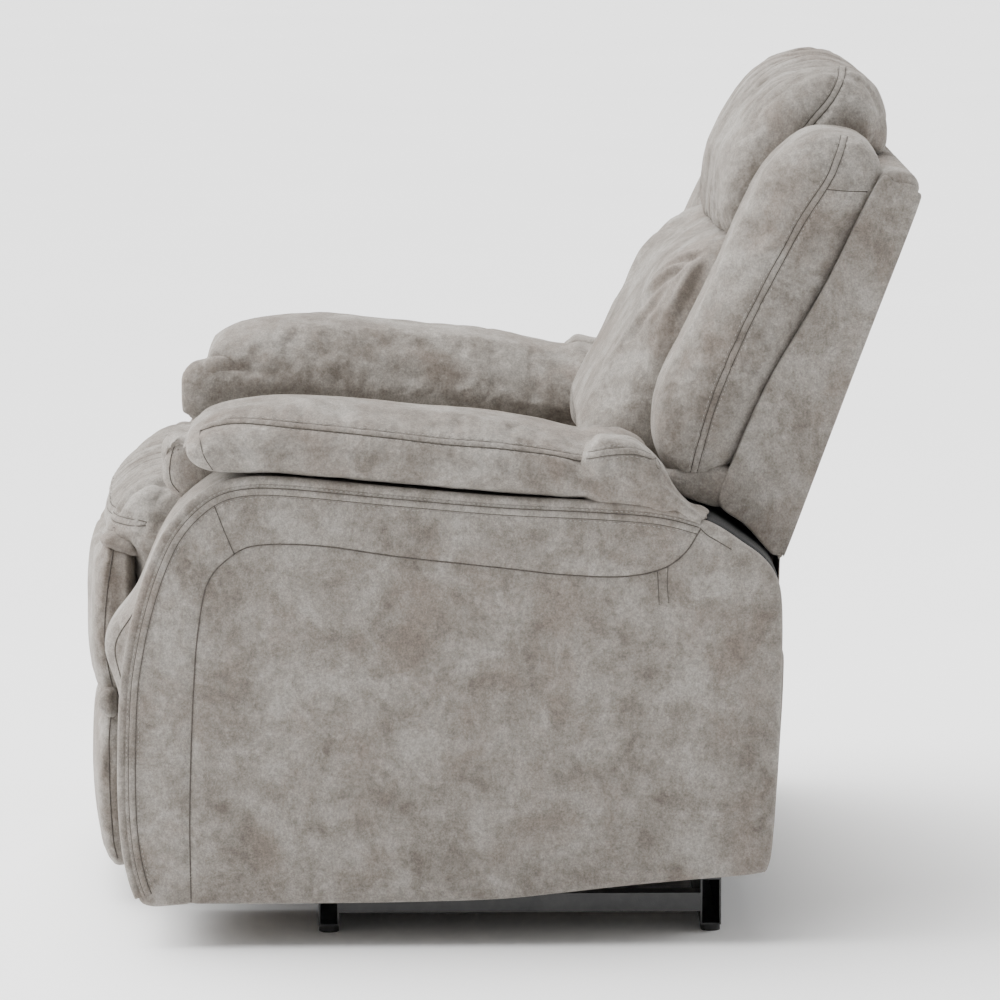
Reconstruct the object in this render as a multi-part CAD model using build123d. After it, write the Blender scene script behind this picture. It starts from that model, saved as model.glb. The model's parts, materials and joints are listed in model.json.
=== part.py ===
"""Recliner armchair: padded arms, pillow back, two-pad footrest, wall-saving swing base.

Millimetres. +Z up, the sitter faces -Y, +X is the sitter's left.
The origin is on the floor under the middle of the chair.
"""
from build123d import *
from math import cos, radians, sin
import os

os.makedirs("parts", exist_ok=True)

# ---- Driving dimensions ----------------------------------------------------
ARM_IN = 270.0            # inner face of each arm, from the centre plane
ARM_OUT = 465.0           # outer face of each arm
PAD_OUT = 474.5           # the arm pad overhangs the arm
PANEL_T = 17.0            # padded side panels of the arms
FACING_T = 22.0           # padded front and rear facings of the arms
CUSHION_HALF = 262.0      # half width of everything that sits between the arms
WING_OUT = 388.0          # outer face of the back's side bolsters
SHELL_OUT = 384.0         # outer face of the rigid shell behind them

GAP = 0.5                 # side play between neighbouring plates
PLATE_T = 5.0             # steel plates and links
RUN = 0.05                # radial clearance of a pin in its hole
OPEN_RUN = 0.5            # radial clearance where a closed linkage is opened
SWING_PIN_R = 6.0         # pins of the swing links
KNEE_PIN_R = 5.0          # pins of the footrest linkage
HINGE_PIN_R = 7.0         # pin of the back hinge
SWING_HEAD = (9.0, 2.5)   # pin heads, radius and thickness
KNEE_HEAD = (7.5, 2.0)

# Layers of the mechanism, from the outside in (inner face of each plate)
BRACKET_X = 236.0
SWING_X = 230.0
SIDE_PLATE_X = 224.5
LOWER_LINK_X = 218.0
UPPER_LINK_X = 212.0
FOOT_BRACKET_X = 206.0

# Joint centres, as (Y, Z)
RECLINE = (190.0, 348.0)           # back on carriage
SWING_LEN = 120.0                  # swing links of the base
SWING_LEAN = radians(20)           # they lean this far back at rest
BASE_FRONT = (-150.0, 90.0)
BASE_REAR = (190.0, 90.0)
FOOT_HINGE = (-468.0, 436.0)       # seam between seat front and upper footrest pad
FOOT_FOLD = (-470.0, 246.0)        # seam between the two footrest pads
DRIVE = (-258.0, 315.0)            # drive tube, lower links turn on it
KNEE = (-199.0, 95.0)              # lower link to upper link
FOOT_PIVOT = (-416.0, 216.0)       # upper link to footrest bracket

LEAN = radians(20.1)               # lean of the back frame
BACK_FOOT = (278.0, 450.0)         # front face of the back posts at that height


def carriage_pivot(base):
    """Upper end of a swing link at rest."""
    return (base[0] + SWING_LEN * sin(SWING_LEAN), base[1] + SWING_LEN * cos(SWING_LEAN))


FRONT_UPPER = carriage_pivot(BASE_FRONT)
REAR_UPPER = carriage_pivot(BASE_REAR)


# ---- Helpers ---------------------------------------------------------------
def prism(sketch, x0, x1):
    """Extrude a (Y, Z) sketch from x0 to x1."""
    return extrude(Plane.YZ.offset(x0) * sketch, amount=x1 - x0)


def disc(at, r):
    """A round spot of a (Y, Z) sketch."""
    return Pos(at[0], at[1]) * Circle(r)


def hull(*spots):
    """Smallest plate outline around round spots, each (centre, radius)."""
    edges = [e for at, r in spots for e in disc(at, r).edges()]
    return make_hull(edges)


def outline(points, radius):
    """Closed (Y, Z) outline with every corner rounded."""
    return make_face(FilletPolyline(*points, radius=radius, close=True).edges())


def box(x0, x1, y0, y1, z0, z1):
    """A board or bar by its limits."""
    return Pos((x0 + x1) / 2, (y0 + y1) / 2, (z0 + z1) / 2) * Box(x1 - x0, y1 - y0, z1 - z0)


def rod(at, r, x0, x1):
    """A round bar along X."""
    return prism(disc(at, r), x0, x1)


def mirrored(part):
    """The same piece on the sitter's right."""
    return mirror(part, about=Plane.YZ)


def save(name, *solids):
    """Write one node; several solids make one group."""
    loose = [s for part in solids for s in part.solids()]
    shape = loose[0] if len(loose) == 1 else Compound(children=loose)
    shape.label = name
    export_step(shape, f"parts/{name}.step")


def save_pair(name, part):
    """A left piece and its mirror image in one node."""
    save(name, part, mirrored(part))


def save_sides(name, part):
    """A left piece and its mirror image as two nodes."""
    save(f"{name}_left", part)
    save(f"{name}_right", mirrored(part))


def headed_pin(at, r, x0, x1, head_r, head_t):
    """A rivet-like pin with a head on each end."""
    return rod(at, r, x0, x1) + rod(at, head_r, x0, x0 + head_t) + rod(at, head_r, x1 - head_t, x1)


def zigzag_spring(length, half_width, pitch, wire_r):
    """A sinuous spring along +Y, flat in the XY plane, made of straights and half turns."""
    turns = int(length // pitch)
    start = (length - turns * pitch) / 2
    r = pitch / 2
    side = half_width - r
    pieces = [Line((0, 0), (0, start)), Line((0, start), (side, start))]
    x, y = side, start
    for i in range(turns):
        sense = 1 if x > 0 else -1
        pieces.append(ThreePointArc((x, y), (x + sense * r, y + r), (x, y + pitch)))
        y += pitch
        target = 0 if i == turns - 1 else -x
        pieces.append(Line((x, y), (target, y)))
        x = target
    pieces.append(Line((0, y), (0, length)))
    path = Wire(pieces)
    section = Plane(origin=(0, 0, 0), z_dir=(0, 1, 0)) * Circle(wire_r)
    return sweep(section, path=path, transition=Transition.ROUND)


# ---- Floor base ------------------------------------------------------------
BASE_HALF = 387.5
RAIL_W = 25.0
FRONT_BAR = (-205.0, -181.0, 8.0, 46.0)      # y0, y1, z0, z1
REAR_BAR = (240.0, 264.0, 8.0, 64.0)
RAIL_Z = (24.0, 46.0)
GLIDE_R = 11.5
WALL = 2.0


def bar_centre(bar):
    return (bar[0] + bar[1]) / 2


def floor_base():
    for name, (y0, y1, z0, z1) in (("base_front_crossbar", FRONT_BAR), ("base_rear_crossbar", REAR_BAR)):
        tube = box(-BASE_HALF, BASE_HALF, y0, y1, z0, z1)
        tube -= box(-BASE_HALF, BASE_HALF, y0 + WALL, y1 - WALL, z0 + WALL, z1 - WALL)
        save(name, tube)
    save_pair("base_side_rails", box(BASE_HALF - RAIL_W, BASE_HALF, FRONT_BAR[1], REAR_BAR[0], *RAIL_Z))
    glides = [Pos(s * (BASE_HALF - RAIL_W / 2), bar_centre(bar), FRONT_BAR[2] / 2)
              * Cylinder(GLIDE_R, FRONT_BAR[2]) for bar in (FRONT_BAR, REAR_BAR) for s in (1, -1)]
    save("foot_glides", *glides)
    eye, flange = 16.0, 6.0
    brackets, pins = [], []
    for pivot, bar in ((BASE_FRONT, FRONT_BAR), (BASE_REAR, REAR_BAR)):
        foot = bar[3] + flange
        shape = hull((pivot, eye), ((bar[0] + flange, foot), flange), ((bar[1] - flange, foot), flange))
        shape -= disc(pivot, SWING_PIN_R + RUN)
        brackets.append(prism(shape, BRACKET_X, BRACKET_X + PLATE_T))
        pins.append(headed_pin(pivot, SWING_PIN_R, SWING_X - 3, BRACKET_X + PLATE_T + 3, *SWING_HEAD))
    save("swing_brackets", *brackets, *[mirrored(b) for b in brackets])
    save("base_pivot_pins", *pins, *[mirrored(p) for p in pins])


# ---- Swing links -----------------------------------------------------------
SWING_EYE_R = 15.0


def swing_link(base, upper, upper_clearance):
    shape = hull((base, SWING_EYE_R), (upper, SWING_EYE_R))
    shape -= disc(base, SWING_PIN_R + RUN)
    shape -= disc(upper, SWING_PIN_R + upper_clearance)
    return prism(shape, SWING_X, SWING_X + PLATE_T)


def swing_links():
    save_pair("front_swing_links", swing_link(BASE_FRONT, FRONT_UPPER, RUN))
    save_pair("rear_swing_links", swing_link(BASE_REAR, REAR_UPPER, OPEN_RUN))


# ---- Carriage: seat frame and mechanism plates -----------------------------
RAIL_IN = 230.0           # wooden seat rails
RAIL_OUT = 266.0
RAIL_TOP = 345.0
RAIL_Y = (-395.0, 300.0)
BOARD_T = 25.0
TUBE_R = 12.5
BUSH_R = 17.0
BOLT_R = 4.0
BOLT_ZS = (275.0, 322.0)
POST_FRONT_Y = (-350.0, -328.0)
POST_REAR_Y = (270.0, 292.0)
BOLT_YS = (sum(POST_FRONT_Y) / 2, sum(POST_REAR_Y) / 2)
TUBE_HOLE_R = 14.0
SPRING_WIRE_R = 1.9
SPRING_HALF = 25.0        # half width of a sinuous spring
SPRING_PITCH = 58.0
SEAT_SPRING_XS = (-174, -58, 58, 174)
BACK_SPRING_XS = (-120, 0, 120)
PLATE_EYE_R = 20.0        # rounded corners of a mechanism plate
NOTCH_YS = (-150, -60, 30, 120)
NOTCH_Z, NOTCH_R = 262.0, 22.0


def with_bolt_holes(part, x0, x1):
    for y in BOLT_YS:
        for z in BOLT_ZS:
            part -= rod((y, z), BOLT_R + 0.2, x0, x1)
    return part


def seat_frame():
    side = with_bolt_holes(box(RAIL_IN, RAIL_OUT, *RAIL_Y, 250, RAIL_TOP), RAIL_IN, RAIL_OUT)
    save("seat_side_rail_left", side)
    save("seat_side_rail_right", mirrored(side) - rod(DRIVE, TUBE_HOLE_R, -RAIL_OUT, -RAIL_IN))
    save("seat_front_rail", box(-229.8, 229.8, RAIL_Y[0], RAIL_Y[0] + BOARD_T, 300, RAIL_TOP))
    save("seat_rear_rail", box(-218.2, 218.2, 150, 150 + BOARD_T, 300, RAIL_TOP))
    first, last = RAIL_Y[0] + 8, 150 + BOARD_T - 8
    one = zigzag_spring(last - first, SPRING_HALF, SPRING_PITCH, SPRING_WIRE_R)
    save("seat_springs", *[Pos(x, first, RAIL_TOP + SPRING_WIRE_R + 0.1) * one for x in SEAT_SPRING_XS])
    save("dust_cover", box(-205, 205, RAIL_Y[0] + BOARD_T + 2, 148, 335.5, 337))


def mechanism_plates():
    bend = ((150, 322), 22)
    front, rear, hinge = ((at, PLATE_EYE_R) for at in (FRONT_UPPER, REAR_UPPER, RECLINE))
    shape = hull((DRIVE, BUSH_R + 7), front, rear, bend)
    shape += hull(rear, hinge, bend)
    shape -= disc(DRIVE, BUSH_R)
    for pivot, r in ((FRONT_UPPER, SWING_PIN_R), (REAR_UPPER, SWING_PIN_R), (RECLINE, HINGE_PIN_R)):
        shape -= disc(pivot, r + RUN)
    for y in NOTCH_YS:
        shape -= disc((y, NOTCH_Z), NOTCH_R)
    plate = prism(shape, SIDE_PLATE_X, SIDE_PLATE_X + PLATE_T)
    save_sides("mechanism_plate", plate)
    bush = rod(DRIVE, BUSH_R - RUN, SIDE_PLATE_X - 1, SIDE_PLATE_X + PLATE_T)
    save_pair("drive_tube_bushings", bush - rod(DRIVE, TUBE_R + RUN, SIDE_PLATE_X - 1, SIDE_PLATE_X + PLATE_T))
    swing_pins = [headed_pin(p, SWING_PIN_R, SIDE_PLATE_X - 3, SWING_X + PLATE_T + 3, *SWING_HEAD)
                  for p in (FRONT_UPPER, REAR_UPPER)]
    hinge_pin = rod(RECLINE, HINGE_PIN_R, LOWER_LINK_X - 2, RAIL_IN - 0.2)
    hinge_pin += rod(RECLINE, HINGE_PIN_R + 4, LOWER_LINK_X - 3, LOWER_LINK_X)
    pins = swing_pins + [hinge_pin]
    save("carriage_pivot_pins", *pins, *[mirrored(p) for p in pins])
    bolts = [rod((y, z), BOLT_R, RAIL_IN - 5, 330) + rod((y, z), 9, RAIL_IN - 5, RAIL_IN)
             for y in BOLT_YS for z in BOLT_ZS]
    save("arm_bolts", *bolts, *[mirrored(b) for b in bolts])


def seat_cushion():
    profile = [(-415, 352), (-415, 424), (-444, 441), (-454, 462), (-448, 486), (-420, 506),
               (-330, 514), (-60, 506), (128, 496), (128, 352)]
    body = prism(outline(profile, 8), -CUSHION_HALF, CUSHION_HALF)
    save("seat_cushion", body)


# ---- Arms ------------------------------------------------------------------
SLOPE_R = 156.0           # the arm's rear shoulder is an arc about the recline pivot


def on_circle(centre, r, angle):
    """A point on a circle; the angle is measured from straight up towards the rear."""
    return (centre[0] + r * sin(radians(angle)), centre[1] + r * cos(radians(angle)))


ARM_FRONT = [(-318, 537), (-375, 484), (-409, 397), (-426, 293), (-429, 190), (-420, 90)]
ARM_REAR = [(318, 115), (325, 232), (328, 337)]


def arm_side():
    """Side view of the arm: bulging front, level top, rounded rear shoulder."""
    shoulder = [on_circle(RECLINE, SLOPE_R, a) for a in (14, 36, 57)]
    edges = [
        Spline(*ARM_FRONT, tangents=[(-1, -0.45), (0.25, -1)]),
        Line((-420, 90), (-398, 50)),
        Spline((-398, 50), (-110, 53), (166, 73), (307, 85)),
        Line((307, 85), ARM_REAR[0]),
        Spline(*ARM_REAR, shoulder[2]),
        ThreePointArc(shoulder[2], shoulder[1], shoulder[0]),
        Spline(shoulder[0], (118, 517), (5, 523), (-109, 533), (-233, 544), (-318, 537)),
    ]
    return make_face(edges)


def curved_board(points, inward):
    """Side view of a bent board: its outer face runs through the points."""
    inner = [(y + dy, z + dz) for (y, z), (dy, dz) in zip(points, inward)]
    ends = [Line(points[-1], inner[-1]), Line(inner[0], points[0])]
    return make_face([Spline(*points), Spline(*inner), *ends])


def arm_shell():
    side = arm_side()
    outer = prism(side, ARM_OUT - PANEL_T, ARM_OUT)
    inner = with_bolt_holes(prism(side, ARM_IN, ARM_IN + PANEL_T - 1), ARM_IN, ARM_IN + PANEL_T)
    save("arm_outer_panel_left", outer)
    save("arm_outer_panel_right", mirrored(outer) - rod(DRIVE, TUBE_HOLE_R, -ARM_OUT, ARM_IN - ARM_OUT))
    save("arm_inner_panel_left", inner)
    save("arm_inner_panel_right", mirrored(inner) - rod(DRIVE, TUBE_HOLE_R, -ARM_OUT, -ARM_IN))
    x0, x1 = ARM_IN + PANEL_T, ARM_OUT - PANEL_T - 1
    t = FACING_T
    inward = [(0.8 * t, -0.6 * t), (0.95 * t, -0.3 * t), (t, -0.1 * t), (t, 0), (t, 0)]
    save_sides("arm_front_facing", prism(curved_board(ARM_FRONT[1:], inward), x0, x1))
    shoulder = [(a, on_circle(RECLINE, SLOPE_R, a)) for a in (62, 45, 30, 17)]
    rear_points = ARM_REAR + [at for _, at in shoulder]
    inward = [(-t, 0), (-t, 0), (-t, 0)]
    inward += [(-t * sin(radians(a)), -t * cos(radians(a))) for a, _ in shoulder]
    save_sides("arm_rear_facing", prism(curved_board(rear_points, inward), x0, x1))


def arm_pads():
    profile = [(-338, 551), (-352, 585), (-343, 618), (-290, 633), (-222, 638), (-86, 626), (28, 612),
               (110, 598), (150, 586), (172, 556), (172, 522), (118, 521), (-109, 537), (-233, 548)]
    body = prism(outline(profile, 7), ARM_IN - 8, PAD_OUT)
    save_sides("arm_pad", body)


def arm_frames():
    x0, x1 = ARM_IN + 30, ARM_OUT - 30
    front = with_bolt_holes(box(x0, x1, *POST_FRONT_Y, 64, 455), x0, 331)
    rear = with_bolt_holes(box(x0, x1, *POST_REAR_Y, 88, 390), x0, 331)
    save_pair("arm_front_posts", front)
    save_pair("arm_rear_posts", rear)
    save_pair("arm_top_rails", box(x0, x1, POST_FRONT_Y[0] + 4, 200, 456, 478))
    save_pair("arm_bottom_rails", box(x0, x1, POST_FRONT_Y[1] + 1, POST_REAR_Y[0] - 1, 88, 110))


def rear_skirt():
    save("rear_skirt_board", box(-368, 368, 329.5, 336, 95, 325))


# ---- Back ------------------------------------------------------------------
BACK_FRAME = Plane(origin=(0, *BACK_FOOT), x_dir=(1, 0, 0), z_dir=(0, sin(LEAN), cos(LEAN)))
POST_D = 37.0             # depth of the back posts, front to rear
POST_IN, POST_OUT = 183.0, 218.0
POST_LOW, POST_HIGH = -50.0, 418.0


def leaned(x0, x1, d0, d1, s0, s1):
    """A board of the back frame: d runs rearwards, s runs up along the lean."""
    block = Pos((x0 + x1) / 2, (d0 + d1) / 2, (s0 + s1) / 2) * Box(x1 - x0, d1 - d0, s1 - s0)
    return BACK_FRAME * block


def lean_point(d, s):
    """Where a point of the back frame lies, as (Y, Z)."""
    return (BACK_FOOT[0] + d * cos(LEAN) + s * sin(LEAN), BACK_FOOT[1] - d * sin(LEAN) + s * cos(LEAN))


def back_frame():
    bolt_spots = [lean_point(16, -28), lean_point(18, 55)]
    post = leaned(POST_IN, POST_OUT, 0, POST_D, POST_LOW, POST_HIGH)
    corner = leaned(POST_IN - 1, POST_OUT + 1, 26, 40, POST_LOW - 1, -8)
    post -= corner
    plate = hull((RECLINE, PLATE_EYE_R), (bolt_spots[0], 15), (bolt_spots[1], 15))
    plate -= disc(RECLINE, HINGE_PIN_R + RUN)
    for spot in bolt_spots:
        post -= rod(spot, BOLT_R + 0.1, POST_OUT - 25, POST_OUT)
        plate -= disc(spot, BOLT_R + 0.1)
    save_pair("back_posts", post)
    x0 = POST_OUT + GAP
    save_pair("back_hinge_brackets", prism(plate, x0, x0 + PLATE_T))
    bolts = [rod(s, BOLT_R, POST_OUT - 24, x0 + PLATE_T) + rod(s, 8, x0 + PLATE_T, x0 + PLATE_T + 4)
             for s in bolt_spots]
    save("back_bolts", *bolts, *[mirrored(b) for b in bolts])
    save("back_top_rail", leaned(-364, 364, 3, POST_D, POST_HIGH + 1, POST_HIGH + 36))
    save("back_lower_rail", leaned(-POST_IN + 1, POST_IN - 1, 2, 24, POST_LOW + 5, POST_LOW + 40))
    low, high = POST_LOW + 25, POST_HIGH + 15
    one = zigzag_spring(high - low, SPRING_HALF, SPRING_PITCH, SPRING_WIRE_R)
    upright = Plane(origin=(0, 0, 0), x_dir=(1, 0, 0), z_dir=(0, -1, 0))
    springs = [BACK_FRAME * (Pos(x, -SPRING_WIRE_R - 0.3, low) * (upright * one)) for x in BACK_SPRING_XS]
    save("back_springs", *springs)


REAR_LINE = ((338, 450), (482, 843))


def back_shell():
    side = [(438, 873), (478, 870), (485, 858), REAR_LINE[1], REAR_LINE[0], (324, 444), (316, 449),
            (289, 479), (258, 508), (277, 561), (317, 650), (379, 757)]
    save_sides("back_side_panel", prism(outline(side, 3), WING_OUT - 16, SHELL_OUT))
    rear = [(478, 869), (485, 858), REAR_LINE[1], REAR_LINE[0], (328, 454), (472, 847)]
    save("back_rear_panel", prism(outline(rear, 1.5), 16.5 - WING_OUT, WING_OUT - 16.5))


def back_cushions():
    wing = [(228, 522), (203, 528), (184, 555), (182, 600), (196, 645), (243, 740), (277, 815), (311, 884),
            (337, 914), (378, 936), (409, 932), (432, 908), (434, 889), (421, 866), (366, 757), (303, 650),
            (263, 561), (252, 525)]
    save_sides("back_wing", prism(outline(wing, 4), CUSHION_HALF + 2, WING_OUT))
    lumbar = [(112, 514), (103, 532), (112, 565), (137, 614), (167, 669), (203, 731), (232, 767), (253, 792),
              (394, 792), (288, 502), (170, 505)]
    save("lumbar_cushion", prism(outline(lumbar, 5), -CUSHION_HALF, CUSHION_HALF))
    pillow = [(257, 795), (260, 823), (267, 853), (281, 893), (305, 928), (335, 961), (371, 986), (406, 995),
              (431, 983), (455, 959), (470, 932), (474, 907), (471, 888), (428, 888), (413, 850), (397, 795)]
    save("head_pillow", prism(outline(pillow, 4), -CUSHION_HALF, CUSHION_HALF))


# ---- Footrest --------------------------------------------------------------
def footrest():
    upper = [(-426, 429), (-455, 429), (-473, 418), (-482, 398), (-485.5, 350), (-485.5, 300), (-479, 262),
             (-474, 250), (-434, 250), (-434, 420)]
    save("upper_footrest_pad", prism(outline(upper, 5), -258, 258))
    save("upper_footrest_board", box(-235, 235, -433, -425.5, 256, 418))
    lower = [(-474, 242), (-479, 222), (-480, 120), (-474, 62), (-462, 48), (-439, 48), (-439, 242)]
    save("lower_footrest_pad", prism(outline(lower, 5), -258, 258))
    save("lower_footrest_board", box(-205, 205, -438, -427, 60, 236))
    x0 = FOOT_BRACKET_X
    web = hull((FOOT_PIVOT, 10), ((-421, 135), 5)) - disc(FOOT_PIVOT, KNEE_PIN_R + RUN)
    bracket = prism(web, x0, x0 + PLATE_T) + box(x0 - 20, x0 + 1, -426.8, -423.8, 130, 226)
    save_pair("footrest_brackets", bracket)
    pin = headed_pin(FOOT_PIVOT, KNEE_PIN_R, x0 - 3, UPPER_LINK_X + PLATE_T + 2.5, *KNEE_HEAD)
    save_pair("footrest_bracket_pins", pin)


KNEE_EYE_R = 14.0
TIE_R = 9.0               # tube that ties the two lower links together
LEVER_REACH, LEVER_RISE = 130.0, radians(20)


def footrest_links():
    lower = hull((DRIVE, 22), (KNEE, KNEE_EYE_R)) - disc(DRIVE, TUBE_R + RUN) - disc(KNEE, KNEE_PIN_R + RUN)
    tie = tuple(0.5 * (a + b) for a, b in zip(DRIVE, KNEE))
    lower -= disc(tie, TIE_R + RUN)
    save_pair("footrest_lower_links", prism(lower, LOWER_LINK_X, LOWER_LINK_X + PLATE_T))
    upper = hull((KNEE, KNEE_EYE_R), (FOOT_PIVOT, 13))
    upper -= disc(KNEE, KNEE_PIN_R + RUN) + disc(FOOT_PIVOT, KNEE_PIN_R + OPEN_RUN)
    save_pair("footrest_upper_links", prism(upper, UPPER_LINK_X, UPPER_LINK_X + PLATE_T))
    tie_end = LOWER_LINK_X + PLATE_T
    save("footrest_tie_tube", rod(tie, TIE_R, -tie_end, tie_end) - rod(tie, TIE_R - WALL, -tie_end, tie_end))
    knee_pin = headed_pin(KNEE, KNEE_PIN_R, UPPER_LINK_X - 2.5, LOWER_LINK_X + PLATE_T + 2.5, *KNEE_HEAD)
    save_pair("footrest_knee_pins", knee_pin)
    left_end = SIDE_PLATE_X + PLATE_T + 0.2
    right_end = -(ARM_OUT + 1.5)
    save("drive_tube", rod(DRIVE, TUBE_R, right_end, left_end) - rod(DRIVE, TUBE_R - 2, right_end, left_end))
    tip = (DRIVE[0] - LEVER_REACH * cos(LEVER_RISE), DRIVE[1] + LEVER_REACH * sin(LEVER_RISE))
    lever = prism(hull((DRIVE, 18), (tip, 20)), right_end - 8, right_end)
    save("release_lever", fillet(lever.faces().sort_by(Axis.X)[0].edges(), 3))


def main():
    floor_base()
    swing_links()
    seat_frame()
    mechanism_plates()
    seat_cushion()
    arm_shell()
    arm_pads()
    arm_frames()
    rear_skirt()
    back_frame()
    back_shell()
    back_cushions()
    footrest()
    footrest_links()


main()
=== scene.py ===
"""Looks of the recliner armchair: padded suede-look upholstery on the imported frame.

Metres. +Z up, the sitter faces -Y, +X is the sitter's left.
"""
import json
import math

import bmesh
import bpy
import numpy as np
from mathutils import Matrix, Vector
from mathutils.bvhtree import BVHTree


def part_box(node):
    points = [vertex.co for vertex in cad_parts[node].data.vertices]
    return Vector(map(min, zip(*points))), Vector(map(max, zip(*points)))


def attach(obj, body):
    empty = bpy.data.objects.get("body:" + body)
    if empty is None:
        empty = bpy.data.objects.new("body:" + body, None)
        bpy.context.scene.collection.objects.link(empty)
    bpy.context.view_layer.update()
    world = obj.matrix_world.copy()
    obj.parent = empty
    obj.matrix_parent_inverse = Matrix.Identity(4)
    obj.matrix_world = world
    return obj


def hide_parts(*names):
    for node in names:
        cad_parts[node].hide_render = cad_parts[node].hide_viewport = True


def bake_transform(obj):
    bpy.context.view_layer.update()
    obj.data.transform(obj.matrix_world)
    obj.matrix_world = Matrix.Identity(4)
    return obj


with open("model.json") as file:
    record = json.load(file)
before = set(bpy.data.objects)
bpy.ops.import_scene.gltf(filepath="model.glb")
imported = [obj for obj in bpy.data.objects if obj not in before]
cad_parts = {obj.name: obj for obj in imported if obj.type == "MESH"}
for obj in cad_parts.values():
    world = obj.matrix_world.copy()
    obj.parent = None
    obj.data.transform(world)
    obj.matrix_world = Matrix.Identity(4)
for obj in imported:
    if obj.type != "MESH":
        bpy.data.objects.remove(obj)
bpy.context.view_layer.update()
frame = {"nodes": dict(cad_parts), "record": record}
NODES = frame["nodes"]
MM = 0.001
SIDE = (1, 0, 0)                       # towards the chair's left side
SIDES = ((1, "left"), (-1, "right"))


# ---- Small maths -----------------------------------------------------------
def curve(points, step, closed=False):
    """Smooth line through the points (millimetres), sampled evenly every step, in metres."""
    p = np.array(points, float) * MM
    n = len(p)
    spans = n if closed else n - 1
    t = np.linspace(0, 1, 24, endpoint=False)[:, None]
    out = []
    for i in range(spans):
        if closed:
            a, b, c, d = p[i - 1], p[i], p[(i + 1) % n], p[(i + 2) % n]
        else:
            b, c = p[i], p[i + 1]
            a = p[i - 1] if i else 2 * b - c
            d = p[i + 2] if i + 2 < n else 2 * c - b
        out.append(0.5 * (2 * b + (c - a) * t + (2 * a - 5 * b + 4 * c - d) * t ** 2
                          + (3 * b - a - 3 * c + d) * t ** 3))
    line = np.vstack(out + [p[:1] if closed else p[-1:]])
    return resample(line, step, closed)


def resample(line, step, closed=False):
    """The same line with evenly spaced points; a closed line doesn't repeat its first point."""
    seg = np.linalg.norm(np.diff(line, axis=0), axis=1)
    along = np.concatenate([[0], np.cumsum(seg)])
    count = max(8, int(round(along[-1] / step)))
    want = np.linspace(0, along[-1], count + 1)
    if closed:
        want = want[:-1]
    return np.stack([np.interp(want, along, line[:, k]) for k in range(line.shape[1])], axis=1)


def nearest(points, line):
    """Distance of each point to a line's samples, and how far along the line that is."""
    seg = np.linalg.norm(np.diff(line, axis=0), axis=1)
    along = np.concatenate([[0], np.cumsum(seg)])
    dist = np.empty(len(points))
    arc = np.empty(len(points))
    for i in range(0, len(points), 20000):
        part = points[i:i + 20000]
        d2 = ((part[:, None, :] - line[None, :, :]) ** 2).sum(2)
        k = d2.argmin(1)
        dist[i:i + 20000] = np.sqrt(d2[np.arange(len(part)), k])
        arc[i:i + 20000] = along[k]
    return dist, arc


def noise(points, size, seed):
    """Smooth random values from -1 to 1 that change over about that size (metres)."""
    table = np.random.default_rng(seed).uniform(-1, 1, (32, 32, 32))
    q = points / size
    i = np.floor(q).astype(int)
    f = q - i
    f = f * f * (3 - 2 * f)
    total = np.zeros(len(points))
    for dx in (0, 1):
        for dy in (0, 1):
            for dz in (0, 1):
                w = np.ones(len(points))
                for k, d in enumerate((dx, dy, dz)):
                    w = w * (f[:, k] if d else 1 - f[:, k])
                total += w * table[(i[:, 0] + dx) % 32, (i[:, 1] + dy) % 32, (i[:, 2] + dz) % 32]
    return total


def smooth(x, lo, hi):
    """0 before lo, 1 after hi, eased between them; works downwards too."""
    t = np.clip((x - lo) / (hi - lo), 0, 1)
    return t * t * (3 - 2 * t)


def bell(x, centre, width):
    return np.exp(-((x - centre) / width) ** 2)


def with_x(yz, x):
    """Points of a side view (Y, Z), placed at that X."""
    return np.column_stack([np.full(len(yz), x), yz])


def across(line):
    """Unit vectors square to a side view's line, in the plane of the view."""
    tan = with_x(np.gradient(line, axis=0), 0.0)
    return np.cross(tan / np.linalg.norm(tan, axis=1)[:, None], SIDE)


# ---- Mesh helpers ----------------------------------------------------------
def new_object(name, verts, faces, smooth_faces=True):
    me = bpy.data.meshes.new(name)
    me.from_pydata([tuple(v) for v in verts], [], faces)
    me.update()
    if smooth_faces:
        me.polygons.foreach_set("use_smooth", [True] * len(me.polygons))
    ob = bpy.data.objects.new(name, me)
    bpy.context.scene.collection.objects.link(ob)
    return ob


def coords(ob):
    co = np.empty(len(ob.data.vertices) * 3, np.float32)
    ob.data.vertices.foreach_get("co", co)
    return co.reshape(-1, 3).astype(float)


def normals(ob):
    no = np.empty(len(ob.data.vertices) * 3, np.float32)
    ob.data.vertex_normals.foreach_get("vector", no)
    return no.reshape(-1, 3).astype(float)


def set_coords(ob, co):
    ob.data.vertices.foreach_set("co", co.astype(np.float32).ravel())
    ob.data.update()


def skin(name, rings):
    """Closed surface through rings of points; each end closes on its ring's middle."""
    rings = np.asarray(rings)
    count, n, _ = rings.shape
    verts = np.vstack([rings.reshape(-1, 3), rings[0].mean(0), rings[-1].mean(0)])
    edges = [(k, (k + 1) % n) for k in range(n)]
    faces = [(r + a, r + b, r + n + b, r + n + a) for r in range(0, (count - 1) * n, n) for a, b in edges]
    first, last, top = count * n, count * n + 1, (count - 1) * n
    for a, b in edges:
        faces.append((b, a, first))
        faces.append((top + a, top + b, last))
    return new_object(name, verts, faces)


def outward(ob):
    """Make the faces of a closed piece point outwards."""
    bm = bmesh.new()
    bm.from_mesh(ob.data)
    bmesh.ops.recalc_face_normals(bm, faces=bm.faces)
    bm.to_mesh(ob.data)
    bm.free()
    ob.data.update()
    return ob


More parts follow.
